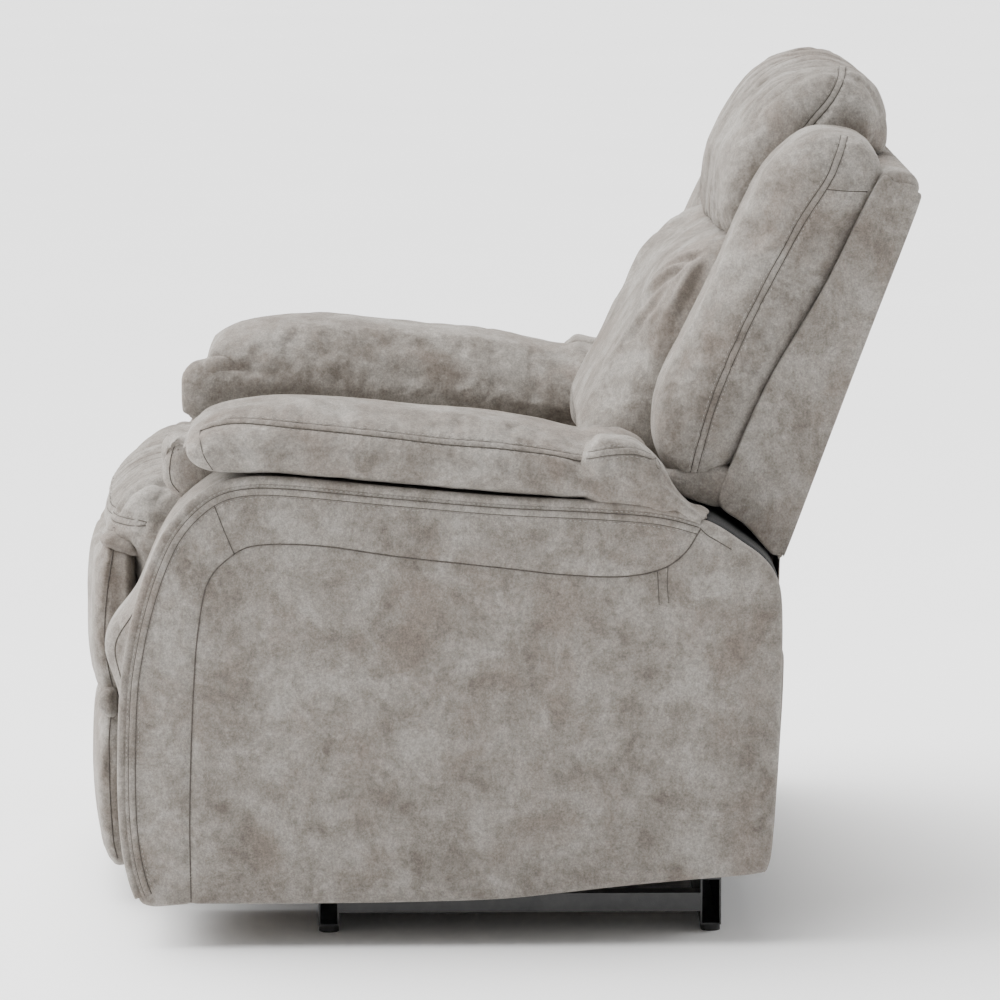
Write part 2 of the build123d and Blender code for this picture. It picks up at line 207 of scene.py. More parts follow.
def baked(ob, kind, **settings):
    """Apply one modifier and keep only its result."""
    mod = ob.modifiers.new(kind.title(), kind)
    for key, value in settings.items():
        setattr(mod, key, value)
    bpy.context.view_layer.update()
    me = bpy.data.meshes.new_from_object(ob.evaluated_get(bpy.context.evaluated_depsgraph_get()))
    ob.modifiers.clear()
    old = ob.data
    ob.data = me
    me.name = ob.name
    bpy.data.meshes.remove(old)
    me.polygons.foreach_set("use_smooth", [True] * len(me.polygons))
    return ob


def remeshed(ob, voxel):
    baked(ob, "REMESH", mode="VOXEL", voxel_size=voxel, use_smooth_shade=True)
    return baked(ob, "SMOOTH", factor=0.5, iterations=4)


def inflate(ob, pins, pressure, frames, cap, slack):
    """Blow the cover up like a stuffed cushion, then subdivide it once.

    pins(co) says how firmly each point is held, 0 to 1. No point moves more than the cap.
    """
    start = coords(ob)
    held = np.clip(pins(start), 0, 1)
    group = ob.vertex_groups.new(name="held")
    levels = np.round(held, 1)
    for level in np.unique(levels[levels > 0]):
        group.add(np.nonzero(levels == level)[0].tolist(), float(level), "REPLACE")
    mod = ob.modifiers.new("Cloth", "CLOTH")
    s = mod.settings
    s.quality = 4
    s.mass = 0.3
    s.tension_stiffness = s.compression_stiffness = 12
    s.shear_stiffness = 4
    s.bending_stiffness = 0.4
    s.use_pressure = True
    s.uniform_pressure_force = pressure
    s.vertex_group_mass = "held"
    s.pin_stiffness = 1
    s.shrink_min = -slack
    s.effector_weights.gravity = 0
    mod.collision_settings.use_collision = False
    scene = bpy.context.scene
    for f in range(1, frames + 1):
        scene.frame_set(f)
    ev = ob.evaluated_get(bpy.context.evaluated_depsgraph_get())
    end = np.empty(len(start) * 3, np.float32)
    ev.data.vertices.foreach_get("co", end)
    ob.modifiers.clear()
    scene.frame_set(1)
    move = end.reshape(-1, 3) - start
    size = np.linalg.norm(move, axis=1)
    move *= np.minimum(1, cap / np.maximum(size, 1e-9))[:, None]
    set_coords(ob, start + move)
    ob.vertex_groups.clear()
    return finer(ob)


def displaced(ob, height):
    """Push the surface out by height(co, no), in metres."""
    co, no = coords(ob), normals(ob)
    set_coords(ob, co + no * height(co, no)[:, None])
    return ob


def dimple(co, centre, size, depth):
    """Depression of the given depth at a point, fading over size along each axis."""
    d = np.linalg.norm((co - np.array(centre)) / np.array(size), axis=1)
    return -depth * np.exp(-d ** 2)


def crumpled(ob, depth, size, seed):
    return displaced(ob, lambda co, no: depth * noise(co, size, seed))


def finer(ob):
    return baked(ob, "SUBSURF", levels=1, render_levels=1)


def tree_of(ob):
    me = ob.data
    return BVHTree.FromPolygons([v.co.copy() for v in me.vertices], [tuple(p.vertices) for p in me.polygons])


def laid(tree, line, toward=None, reach=0.3):
    """Drop a guide line onto a surface. Returns the points and the surface normals there."""
    pts, nos = [], []
    for p in line:
        p = Vector(p)
        loc = None
        if toward is not None:
            d = Vector(toward)
            loc, no, _, _ = tree.ray_cast(p + d * reach, -d, 2 * reach)
        if loc is None:
            loc, no, _, _ = tree.find_nearest(p)
        pts.append(tuple(loc))
        nos.append(tuple(no))
    pts, nos = np.array(pts), np.array(nos)
    for _ in range(3):
        nos[1:-1] = nos[:-2] + nos[1:-1] + nos[2:]
        nos /= np.linalg.norm(nos, axis=1)[:, None]
    pts[1:-1] = 0.25 * pts[:-2] + 0.5 * pts[1:-1] + 0.25 * pts[2:]
    return pts, nos


def frame_along(pts, nos):
    tan = np.gradient(pts, axis=0)
    tan /= np.linalg.norm(tan, axis=1)[:, None]
    side = np.cross(tan, nos)
    side /= np.linalg.norm(side, axis=1)[:, None]
    return tan, side


def strip(name, pts, nos, section):
    """Sweep a closed section of (sideways, outward) offsets along a line on a surface."""
    _, side = frame_along(pts, nos)
    rings = np.stack([pts + side * a + nos * b for a, b in section], axis=1)
    return outward(skin(name, rings))


def band_section(width, height):
    """A flat, slightly domed band whose underside is sunk into the cloth."""
    w = width / 2
    return [(-w, -0.0012), (-w, height * 0.45), (-w * 0.72, height * 0.95), (0, height),
            (w * 0.72, height * 0.95), (w, height * 0.45), (w, -0.0012), (0, -0.0016)]


def round_section(r, sides=6, lift=0.0):
    turns = np.linspace(0, 2 * math.pi, sides, endpoint=False)
    return [(r * math.cos(a), lift + r * math.sin(a)) for a in turns]


def stitches(name, rows, pitch=0.0056, length=0.0030, r=0.00036):
    """Rows of separate thread stitches; each row is (points, normals)."""
    verts, faces = [], []
    ring = [(math.cos(a), math.sin(a)) for a in np.linspace(0, 2 * math.pi, 5, endpoint=False)]
    for pts, nos in rows:
        tan, side = frame_along(pts, nos)
        seg = np.linalg.norm(np.diff(pts, axis=0), axis=1)
        along = np.concatenate([[0], np.cumsum(seg)])
        for s in np.arange(pitch, along[-1] - pitch / 2, pitch):
            at = [np.interp(s, along, pts[:, k]) for k in range(3)]
            i = min(int(np.searchsorted(along, s)), len(pts) - 1)
            c = np.array(at) + nos[i] * r * 0.5
            base = len(verts)
            for u, k in ((-0.5, 0.25), (-0.2, 1.0), (0.2, 1.0), (0.5, 0.25)):
                for a, b in ring:
                    verts.append(c + tan[i] * u * length + (side[i] * a + nos[i] * b) * r * k)
            for q in (base, base + 5, base + 10):
                for k in range(5):
                    k2 = (k + 1) % 5
                    faces.append((q + k, q + k2, q + 5 + k2, q + 5 + k))
            faces.append(tuple(base + k for k in reversed(range(5))))
            faces.append(tuple(base + 15 + k for k in range(5)))
    return outward(new_object(name, verts, faces))


def mirrored(ob):
    """A mirror image across the chair's middle plane, named for the right side."""
    co = coords(ob)
    co[:, 0] *= -1
    faces = [tuple(reversed(p.vertices)) for p in ob.data.polygons]
    twin = new_object(ob.name.replace("left", "right"), co, faces)
    for m in ob.data.materials:
        twin.data.materials.append(m)
    return twin


# ---- Materials -------------------------------------------------------------
class Nodes:
    """A short way to wire a material's nodes."""

    def __init__(self, name):
        self.mat = bpy.data.materials.new(name)
        self.mat.use_nodes = True
        self.tree = self.mat.node_tree
        self.shader = self.tree.nodes["Principled BSDF"]
        self.place = self.add("ShaderNodeTexCoord").outputs["Object"]

    def add(self, kind, **props):
        node = self.tree.nodes.new(kind)
        for key, value in props.items():
            setattr(node, key, value)
        return node

    def link(self, a, b):
        self.tree.links.new(a, b)

    def feed(self, socket, value):
        """Link an output to the socket, or set its plain value."""
        if isinstance(value, (int, float)):
            socket.default_value = value
        elif isinstance(value, tuple):
            socket.default_value = (*value, 1)
        else:
            self.link(value, socket)

    def set(self, **values):
        """Feed the shader's inputs; an underscore in a name stands for a space."""
        for key, value in values.items():
            self.feed(self.shader.inputs[key.replace("_", " ")], value)

    def noise(self, scale, detail=3.0, rough=0.55, distortion=0.0):
        n = self.add("ShaderNodeTexNoise")
        self.link(self.place, n.inputs["Vector"])
        n.inputs["Scale"].default_value = scale
        n.inputs["Detail"].default_value = detail
        n.inputs["Roughness"].default_value = rough
        n.inputs["Distortion"].default_value = distortion
        return n.outputs["Fac"]

    def ramp(self, value, stops):
        r = self.add("ShaderNodeValToRGB")
        ramp = r.color_ramp
        while len(ramp.elements) < len(stops):
            ramp.elements.new(0.5)
        for e, (pos, col) in zip(ramp.elements, stops):
            e.position = pos
            e.color = (*col, 1)
        self.link(value, r.inputs["Fac"])
        return r.outputs["Color"]

    def mix(self, fac, a, b, blend="MIX"):
        m = self.add("ShaderNodeMix", data_type="RGBA", blend_type=blend)
        for key, value in (("Factor", fac), ("A", a), ("B", b)):
            self.feed(m.inputs[key], value)
        return m.outputs["Result"]

    def maths(self, op, a, b):
        m = self.add("ShaderNodeMath", operation=op)
        self.feed(m.inputs[0], a)
        self.feed(m.inputs[1], b)
        return m.outputs["Value"]

    def scaled(self, value, factor, offset):
        """value * factor + offset"""
        return self.maths("ADD", self.maths("MULTIPLY", value, factor), offset)

    def bump(self, height, distance, strength=1.0):
        b = self.add("ShaderNodeBump")
        b.inputs["Distance"].default_value = distance
        b.inputs["Strength"].default_value = strength
        self.link(height, b.inputs["Height"])
        self.link(b.outputs["Normal"], self.shader.inputs["Normal"])


def grey(v):
    return (v, v, v)


NAP_DARK = (0.140, 0.121, 0.103)
NAP_MID = (0.196, 0.176, 0.154)
NAP_LIGHT = (0.282, 0.263, 0.238)
NAP_BRUSHED = (0.272, 0.253, 0.228)
NAP_BROWN = (0.176, 0.144, 0.120)


def suede(name):
    """Brushed microfibre: cloudy patches where the nap lies differently, brown hints, fine pile."""
    n = Nodes(name)
    clouds = n.noise(15, 10.0, 0.74, 0.3)
    cloudy = n.ramp(clouds, [(0.39, NAP_DARK), (0.49, NAP_MID), (0.60, NAP_LIGHT)])
    blots = n.ramp(n.noise(38, 6.0, 0.68, 0.25), [(0.44, grey(0.0)), (0.60, grey(1.0))])
    patchy = n.mix(n.maths("MULTIPLY", blots, 0.42), cloudy, NAP_BRUSHED)
    warm = n.ramp(n.noise(8.5, 6.0, 0.66, 0.3), [(0.50, grey(0.0)), (0.62, grey(1.0))])
    tinted = n.mix(n.maths("MULTIPLY", warm, 0.55), patchy, NAP_BROWN)
    specks = n.ramp(n.noise(430, 4.0, 0.8), [(0.34, grey(0.72)), (0.66, grey(1.22))])
    mottles = n.ramp(n.noise(130, 5.0, 0.75), [(0.38, grey(0.86)), (0.62, grey(1.13))])
    colour = n.mix(1.0, n.mix(1.0, tinted, specks, "MULTIPLY"), mottles, "MULTIPLY")
    n.set(Base_Color=colour, Roughness=n.scaled(clouds, -0.25, 0.98), Specular_IOR_Level=0.2)
    n.set(Sheen_Weight=0.2, Sheen_Roughness=0.45, Sheen_Tint=(0.95, 0.91, 0.86))
    pile = n.maths("ADD", n.noise(900, 3.0, 0.7), n.maths("MULTIPLY", n.noise(260, 3.0, 0.6), 0.8))
    n.bump(pile, 0.0008, 0.8)
    return n.mat


def two_tone(name, dark, light, clouds, rough, grain, depth, strength=1.0):
    """A colour that drifts between two tones; clouds and grain are (scale, detail) of their noise."""
    n = Nodes(name)
    n.set(Base_Color=n.ramp(n.noise(*clouds), [(0.3, dark), (0.7, light)]), Roughness=rough)
    n.bump(n.noise(*grain), depth, strength)
    return n


def painted_black(name):
    """Black powder coat with faint orange peel and dust."""
    n = Nodes(name)
    dust = n.ramp(n.noise(22, 5.0, 0.7), [(0.45, (0.010, 0.010, 0.011)), (0.8, (0.032, 0.031, 0.030))])
    n.set(Base_Color=dust, Roughness=n.scaled(n.noise(60, 4.0), 0.3, 0.26), Coat_Weight=0.25)
    n.bump(n.noise(650, 2.0), 0.0005, 0.5)
    return n.mat


def metal(name, base, rough):
    dark = tuple(c * 0.8 for c in base)
    n = two_tone(name, dark, base, (90, 4.0), rough, (700, 2.0), 0.0002, 0.6)
    n.set(Metallic=1.0, Roughness=n.scaled(n.noise(140, 3.0), 0.25, rough))
    return n.mat


def wood_mat(name):
    """Sawn softwood: long grain with darker streaks."""
    n = Nodes(name)
    stretch = n.add("ShaderNodeMapping")
    stretch.inputs["Scale"].default_value = (1.0, 0.12, 1.0)
    n.link(n.place, stretch.inputs["Vector"])
    n.place = stretch.outputs["Vector"]
    grain = n.noise(120, 6.0, 0.5, 0.6)
    n.set(Base_Color=n.ramp(grain, [(0.3, (0.30, 0.18, 0.09)), (0.7, (0.55, 0.38, 0.22))]),
          Roughness=0.72)
    n.bump(grain, 0.0008, 0.6)
    return n.mat


def plastic(name, base, rough):
    dark = tuple(c * 0.85 for c in base)
    return two_tone(name, dark, base, (60, 3.0), rough, (1100, 2.0), 0.0003, 0.6).mat


def cloth(name, dark, light, weave, rough, grain, depth):
    return two_tone(name, dark, light, weave, rough, grain, depth).mat


SUEDE = suede("suede")
SEAM = cloth("seam_shadow", (0.050, 0.043, 0.037), (0.095, 0.083, 0.072), (300, 2.0), 0.95, (900, 2.0),
             0.0004)
THREAD = cloth("seam_thread", (0.27, 0.25, 0.225), (0.37, 0.35, 0.32), (400, 2.0), 0.6, (1500, 2.0), 0.0003)
FINISH = {
    "upholstery": SUEDE,
    "frame_wood": wood_mat("sawn_wood"),
    "black_steel": painted_black("black_powder_coat"),
    "zinc_fasteners": metal("zinc_plate", (0.62, 0.63, 0.65), 0.28),
    "spring_wire": metal("drawn_wire", (0.33, 0.33, 0.34), 0.38),
    "dust_cloth": cloth("dust_cloth", grey(0.012), grey(0.035), (700, 2.0), 0.95, (1300, 1.0), 0.0005),
    "glide_plastic": plastic("glide_plastic", (0.02, 0.02, 0.02), 0.5),
    "bush_nylon": plastic("bush_nylon", (0.70, 0.69, 0.64), 0.42),
    "lever_plastic": plastic("lever_plastic", (0.030, 0.027, 0.024), 0.34),
}


def dress_nodes():
    """Give every CAD node the finish of its material slot."""
    for sub in frame["record"]["subparts"]:
        ob = NODES[sub["node"]]
        ob.data.materials.clear()
        ob.data.materials.append(FINISH[sub["material_slot"]])


def finish(ob, body, mat=SUEDE, replaces=(), blend=None):
    """Material, slot, body and what the piece stands for."""
    if not ob.data.materials:
        ob.data.materials.append(mat)
    if blend:
        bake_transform(ob)
    else:
        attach(ob, body)
    if replaces:
        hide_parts(*replaces)
    return ob


def pair(ob, body, mat=SUEDE, replaces=()):
    """Finish a left piece and its mirror image on the right."""
    finish(ob, body, mat, replaces)
    finish(mirrored(ob), body, mat, [node.replace("left", "right") for node in replaces])


# ---- Sewn details ----------------------------------------------------------
BAND_W = 0.0072           # the double seam's raised band
BAND_H = 0.0013
ROW_OFF = 0.0032          # from the band's edge to its stitch row


def double_seam(name, tree, guide, toward, body):
    """Flat-felled seam: a raised band between two dark lines with a stitch row outside each."""
    pts, nos = laid(tree, guide, toward)
    made = [finish(strip(name + "_band", pts, nos, band_section(BAND_W, BAND_H)), body)]
    _, side = frame_along(pts, nos)
    for k, sign in (("a", -1), ("b", 1)):
        edge, _ = laid(tree, pts + side * sign * (BAND_W / 2 + 0.0003))
        line = strip(f"{name}_line_{k}", edge, nos, round_section(0.0006, lift=0.0003))
        made.append(finish(line, body, SEAM))
    rows = [(laid(tree, pts + side * sign * (BAND_W / 2 + ROW_OFF))[0], nos) for sign in (-1, 1)]
    made.append(finish(stitches(name + "_stitches", rows), body, THREAD))
    return made


def single_seam(name, tree, guide, toward, body, r=0.0008):
    pts, nos = laid(tree, guide, toward)
    return [finish(strip(name, pts, nos, round_section(r, lift=0.0002)), body, SEAM)]


def side_seam(name, tree, points, x, body, r=0.0008):
    """Single seam through points of the side view (millimetres), on a left side face."""
    return single_seam(name, tree, with_x(curve(points, 0.003), x), SIDE, body, r)


def pucker(co, line, reach, pitch, depth, seed):
    """Small gathers beside a seam, strongest at the seam."""
    d, s = nearest(co, line)
    fade = np.exp(-np.maximum(d - 0.004, 0) / reach) * (d > 0.0035)
    vary = 0.6 + 0.4 * noise(co, 0.03, seed)
    return depth * fade * vary * np.sin(2 * math.pi * s / pitch + 2.2 * noise(co, 0.05, seed + 1))


def groove(co, line, depth, width):
    d, _ = nearest(co, line)
    return -depth * np.exp(-(d / width) ** 2)


def both(made, body):
    """Mirror seam details to the other side of the chair."""
    for ob in made:
        finish(mirrored(ob), body)


# ---- Soft shapes -----------------------------------------------------------
def pillow(name, profile, spine, x0, x1, ease0, ease1, step=0.006, shrink=0.0):
    """A stuffed roll along X: its side view is the profile, its ends close onto the spine."""
    outline = curve(profile, step, closed=True)
    bones = curve(spine, 0.002)
    core = bones[((outline[:, None] - bones[None]) ** 2).sum(2).argmin(1)]
    core = (core + np.roll(core, 1, 0) + np.roll(core, -1, 0)) / 3
    reach = np.linalg.norm(outline - core, axis=1)[:, None]
    outline = core + (outline - core) * np.maximum(1 - shrink / np.maximum(reach, 0.001), 0.5)
    stations = [(x0 + ease0 * (1 - math.cos(u)), math.sin(u)) for u in np.linspace(0, math.pi / 2, 9)]
    stations += [(x, 1.0) for x in np.arange(x0 + ease0 + step, x1 - ease1, step)]
    stations += [(x1 - ease1 * (1 - math.cos(u)), math.sin(u)) for u in np.linspace(math.pi / 2, 0, 9)]
    return outward(skin(name, [with_x(core + (outline - core) * max(r, 0.05), x) for x, r in stations]))


def panel(name, profile, centre, x_outer, thick, step, ease):
    """A padded board standing in a YZ plane with rounded edges; rings run in from the rim."""
    rim = curve(profile, step, closed=True)
    inward = np.array(centre) * MM - rim
    dist = np.linalg.norm(inward, axis=1)[:, None]
    back = x_outer - thick
    rings = []

    def ring(depth, x):
        rings.append(with_x(rim + inward / dist * np.minimum(depth, dist * 0.97), x))

    depths = np.concatenate([np.arange(dist.min() * 0.93, ease * 1.2, -step * 1.25), [ease]])
    for d in depths:
        ring(d, x_outer)
    for u in np.linspace(0.15, math.pi / 2, 5):
        ring(ease * (1 - math.sin(u)), x_outer - ease * (1 - math.cos(u)))
    for x in np.linspace(x_outer - ease * 1.2, back + ease * 1.2, max(2, int(thick / step))):
        ring(0.0, x)
    for u in np.linspace(math.pi / 2, 0.15, 5):
        ring(ease * (1 - math.sin(u)), back + ease * (1 - math.cos(u)))
    for d in depths[::-1]:
        ring(d, back)
    return outward(skin(name, rings))


# ---- Arms ------------------------------------------------------------------
ARM_RIM = [(-398, 50), (-413, 66), (-425, 118), (-429, 190), (-426, 293), (-418, 352), (-407, 400),
           (-392, 446), (-373, 486), (-347, 517), (-316, 538), (-278, 546), (-233, 545), (-170, 539),
           (-109, 533), (5, 523), (118, 517), (187, 511), (231, 500), (256, 489), (281, 472), (304, 455),
           (320, 434), (327, 404), (328, 337), (325, 232), (320, 138), (314, 94), (300, 85), (235, 79),
           (166, 73), (74, 63), (0, 56), (-110, 53), (-225, 52), (-345, 52)]
ARM_CENTRE = (-50, 300)
ARM_OUT = 0.465
ARM_IN = 0.270


def arm_body():
    """Outer panel, facings and inner panel of one arm as one sewn cover."""
    ob = panel("arm_body_left", ARM_RIM, ARM_CENTRE, ARM_OUT, ARM_OUT - ARM_IN, 0.0042, 0.010)
    rim = curve(ARM_RIM, 0.002, closed=True)
    border = with_x(curve(ARM_BORDER, 0.003), ARM_OUT)

    def height(co, no):
        x, y, z = co.T
        side = x > ARM_OUT - 0.03
        h = side * groove(with_x(co[:, 1:], ARM_OUT), border, 0.0022, 0.005)
        d_rim, _ = nearest(co[:, 1:], rim)
        h += side * 0.004 * smooth(d_rim, 0.0, 0.06) * smooth(d_rim, 0.5, 0.05)
        h += side * 0.0016 * noise(co, 0.16, 11) * smooth(d_rim, 0.01, 0.08)
        h += side * 0.0006 * noise(co, 0.05, 12) * smooth(d_rim, 0.01, 0.08)
        front = smooth(y, -0.33, -0.40) * smooth(np.abs(no[:, 0]), 0.8, 0.3)
        middle = smooth(x, 0.440, 0.400) * smooth(x, 0.275, 0.315)
        h += front * 0.026 * bell(z, 0.345, 0.042) * middle
        return h + front * 0.005 * np.sin(np.pi * np.clip((x - 0.28) / 0.155, 0, 1))

    return displaced(ob, height)


ARM_BORDER = [(-350, 56), (-350, 176), (-344, 316), (-337, 386), (-326, 432), (-298, 461), (-268, 472),
              (-200, 471), (-109, 458), (5, 445), (73, 437), (141, 434), (187, 442), (215, 461), (233, 488)]


def arm_seams(tree):
    """Double seam round the front and top edge, the border seam and the short joins."""
    rim = curve(ARM_RIM, 0.003, closed=True)
    run = rim[(rim[:, 0] < 0.236) & ((rim[:, 1] > 0.495) | (rim[:, 0] < -0.36)) & (rim[:, 1] > 0.06)]
    inward = np.array(ARM_CENTRE) * MM - run
    inward /= np.linalg.norm(inward, axis=1)[:, None]
    tan = np.gradient(run, axis=0)
    tan /= np.linalg.norm(tan, axis=1)[:, None]
    side = np.column_stack([tan[:, 1], -tan[:, 0]])
    side *= np.sign((side * inward).sum(1))[:, None]
    guide = resample(run + side * 0.0130, 0.003)
    made = double_seam("arm_edge_seam_left", tree, with_x(guide, ARM_OUT), SIDE, "carriage")
    core = resample(run + side * 0.0016, 0.004)
    roll = strip("arm_rim_roll_left", with_x(core, ARM_OUT - 0.0060), across(core), round_section(0.0058, 12))
    pair(roll, "carriage")
    for name, r, points in (
            ("arm_border_seam", 0.0008, ARM_BORDER),
            ("arm_join_seam", 0.0006, [(-321, 522), (-309, 491), (-297, 462)]),
            ("arm_rear_join", 0.0006, [(232, 490), (240, 482), (252, 475), (268, 465)]),
            ("arm_crease_a", 0.0004, [(184, 440), (185, 420), (186, 402)]),
            ("arm_crease_b", 0.0004, [(196, 446), (195, 425), (197, 404)])):
        made += side_seam(name + "_left", tree, points, ARM_OUT, "carriage", r)
    low, high = 0.300, 0.396
    zs = np.arange(low, high, 0.003)
    xs = 0.430 - 0.012 * np.sin(math.pi * (zs - low) / (high - low))
    bow = np.column_stack([xs, np.full(len(zs), -0.40), zs])
    made += single_seam("arm_front_seam_left", tree, bow, (0, -1, 0), "carriage", 0.0008)
    return made


PAD_TOP = [(-352, 601), (-345, 606), (-322, 613), (-285, 619), (-222, 622), (-154, 617), (-86, 610),
           (-17, 604), (28, 597), (74, 586), (100, 581), (130, 583), (165, 573), (188, 554)]
PAD_LOW = [(-352, 555), (-335, 553), (-280, 551), (-233, 550), (-109, 539), (5, 529), (118, 521),
           (188, 519)]
PAD_SEAM = [(-335, 600), (-318, 606), (-285, 610), (-221, 606), (-142, 598), (-63, 589), (5, 583), (60, 575),
            (88, 569), (101, 567), (118, 570)]
PAD_SEAM_X = 0.462
LOBE = [(-345, 586), (-365, 573), (-379, 553), (-384, 532), (-380, 515), (-367, 503), (-345, 500),
        (-318, 504), (-302, 520), (-302, 560), (-320, 582)]


def arm_pad():
    """Over-stuffed arm pad: a pillow across the arm with a roll that drops down its inner side."""
    step = 0.005
    top, low = curve(PAD_TOP, 0.002), curve(PAD_LOW, 0.002)

    def z_at(line, y):
        return np.interp(y, line[:, 0], line[:, 1])

    front, rear = -0.352, 0.186
    rings = []
    ys = np.concatenate([front + 0.035 * (1 - np.cos(np.linspace(0, math.pi / 2, 9))),
                         np.arange(front + 0.04, rear - 0.045, step),
                         rear - 0.045 * (1 - np.cos(np.linspace(math.pi / 2, 0, 9)))])
    for y in ys:
        zc, zb = z_at(top, y), z_at(low, y)
        drop = 0.505 - 0.01 * smooth(y, -0.3, 0.1)
        section = np.array([
            (0.445, zb), (0.463, zb + 0.008), (0.4725, zb + 0.030), (0.468, zc - 0.032), (0.452, zc - 0.014),
            (0.420, zc - 0.003), (0.375, zc), (0.330, zc - 0.003), (0.295, zc - 0.014), (0.272, zc - 0.036),
            (0.264, zc - 0.066), (0.2645, 0.545), (0.268, drop + 0.012), (0.280, drop), (0.297, drop + 0.010),
            (0.300, 0.540), (0.312, zb - 0.002), (0.360, zb)])
        outline = curve(section / MM, step, closed=True)
        bones = curve([(455, (zb + zc) / 2 / MM), (375, (zb + zc) / 2 / MM), (296, (zb + zc) / 2 / MM - 4),
                       (283, 545), (283, 518)], 0.002)
        core = bones[((outline[:, None] - bones[None]) ** 2).sum(2).argmin(1)]
        e0 = np.clip((y - front) / 0.035, 0, 1)
        e1 = np.clip((rear - y) / 0.045, 0, 1)
        r = max(0.06, math.sqrt(1 - (1 - e0) ** 2) * math.sqrt(1 - (1 - e1) ** 2))
        xz = core + (outline - core) * r
        idx = np.linspace(0, len(xz), 110, endpoint=False)
        closed = np.vstack([xz, xz[:1]])
        xz = np.stack([np.interp(idx, np.arange(len(closed)), closed[:, k]) for k in (0, 1)], axis=1)
        lower = smooth(xz[:, 1], 0.600, 0.558) * smooth(xz[:, 0], 0.34, 0.295)
        yy = y - 0.036 * lower * smooth(y, -0.22, front)
        rings.append(np.column_stack([xz[:, 0], yy, xz[:, 1]]))
    ob = outward(skin("arm_pad_cover_left", rings))
    remeshed(ob, 0.005)
    seam = with_x(curve(PAD_SEAM, 0.003), PAD_SEAM_X)
    guide, _ = laid(tree_of(ob), seam, SIDE, 0.05)

    def pins(co):
        d, _ = nearest(co, guide)
        low_z = np.interp(co[:, 1], low[:, 0], low[:, 1])
        return np.maximum(bell(d, 0, 0.006), smooth(co[:, 2] - low_z, 0.006, 0.0))

    inflate(ob, pins, pressure=3.0, frames=16, cap=0.007, slack=0.015)
    guide, _ = laid(tree_of(ob), seam, SIDE, 0.05)

    def height(co, no):
        x, y, z = co.T
        h = groove(co, guide, 0.0022, 0.007)
        h += pucker(co, guide, 0.016, 0.011, 0.0007, 21)
        h += dimple(co, (0.466, 0.101, 0.572), (0.03, 0.016, 0.022), 0.007)
        crest = smooth(no[:, 2], 0.2, 0.8)
        h += crest * 0.0022 * noise(co * np.array([1, 0.55, 1]), 0.035, 22)
        folds = np.sin(2 * math.pi * (y * 0.6 + z) / 0.021 + 3 * noise(co, 0.05, 23))
        h += smooth(y, 0.08, 0.17) * 0.0028 * folds
        crease = bell(z + 0.25 * (y + 0.36), 0.586, 0.006) * smooth(y, -0.25, -0.33)
        h -= 0.008 * crease * smooth(x, 0.35, 0.30)
        h += 0.0012 * noise(co, 0.07, 24) + 0.0005 * noise(co, 0.025, 25)
        return h

    displaced(ob, height)
    tree = tree_of(ob)
    made = double_seam("arm_pad_seam_left", tree, seam, SIDE, "carriage")
    end = [(-336, 598), (-334, 586), (-329, 572), (-321, 558)]
    made += side_seam("arm_pad_end_seam_left", tree, end, 0.46, "carriage", 0.0006)
    pair(ob, "carriage", replaces=["arm_pad_left"])
    both(made, "carriage")


def arm_pad_lobe():
    """The roll at the inner front end of the arm pad."""
    ob = pillow("arm_pad_lobe_left", LOBE, [(-345, 562), (-345, 525)], 0.270, 0.322, 0.015, 0.020, 0.004)
    crumpled(ob, 0.0012, 0.03, 28)
    line = [(-358, 576), (-371, 560), (-376, 538), (-374, 520), (-365, 509)]
    both(side_seam("arm_pad_lobe_seam_left", tree_of(ob), line, 0.33, "carriage", 0.0006), "carriage")
    pair(ob, "carriage")


TAIL = [(92, 540), (98, 574), (116, 590), (146, 591), (172, 578), (192, 556), (210, 530), (228, 510),
        (246, 500), (238, 496), (180, 505), (110, 513)]
TAIL_SEAM = [(104, 572), (125, 577), (155, 578), (178, 570), (190, 562)]


def arm_pad_tail():
    """The pad's rear end, which tucks under the back's side bolster in loose folds."""
    spine = [(122, 550), (165, 545), (215, 512)]
    ob = pillow("arm_pad_tail_left", TAIL, spine, 0.396, 0.4705, 0.02, 0.022, 0.005)
    remeshed(ob, 0.0042)
    finer(ob)

    def height(co, no):
        _, y, z = co.T
        fold = np.sin(2 * math.pi * (0.8 * y + 0.9 * z) / 0.024 + 3 * noise(co, 0.04, 26))
        h = 0.0034 * fold * smooth(y, 0.165, 0.215)
        h += 0.0016 * fold * smooth(z, 0.575, 0.595)
        h += dimple(co, (0.468, 0.101, 0.560), (0.04, 0.010, 0.040), 0.006)
        return h + 0.0012 * noise(co, 0.05, 27)

    displaced(ob, height)
    seam = with_x(curve(TAIL_SEAM, 0.003), 0.46)
    made = double_seam("arm_tail_seam_left", tree_of(ob), seam, SIDE, "carriage")
    pair(ob, "carriage")
    both(made, "carriage")


def arms():
    body = arm_body()
    seams = arm_seams(tree_of(body))
    covered = [f"arm_{part}_left" for part in ("outer_panel", "inner_panel", "front_facing", "rear_facing")]
    pair(body, "carriage", replaces=covered)
    both(seams, "carriage")
    arm_pad()
    arm_pad_lobe()
    arm_pad_tail()
    arm_gap_painted_shade()


def arm_gap_painted_shade():
    """Black sheet over the rear top of each arm: painted shade for the dark gap under the back."""
    rim = curve(ARM_RIM, 0.004, closed=True)
    run = resample(rim[(rim[:, 0] > 0.236) & (rim[:, 1] > 0.428)], 0.004)
    middle = 0.362
    shade_sheet = strip("arm_gap_lining_left", with_x(run, middle), -across(run), band_section(0.178, 0.0012))
    # The black dust-cloth finish on this sheet paints the shade of the gap under the back.
    pair(shade_sheet, "carriage", FINISH["dust_cloth"])


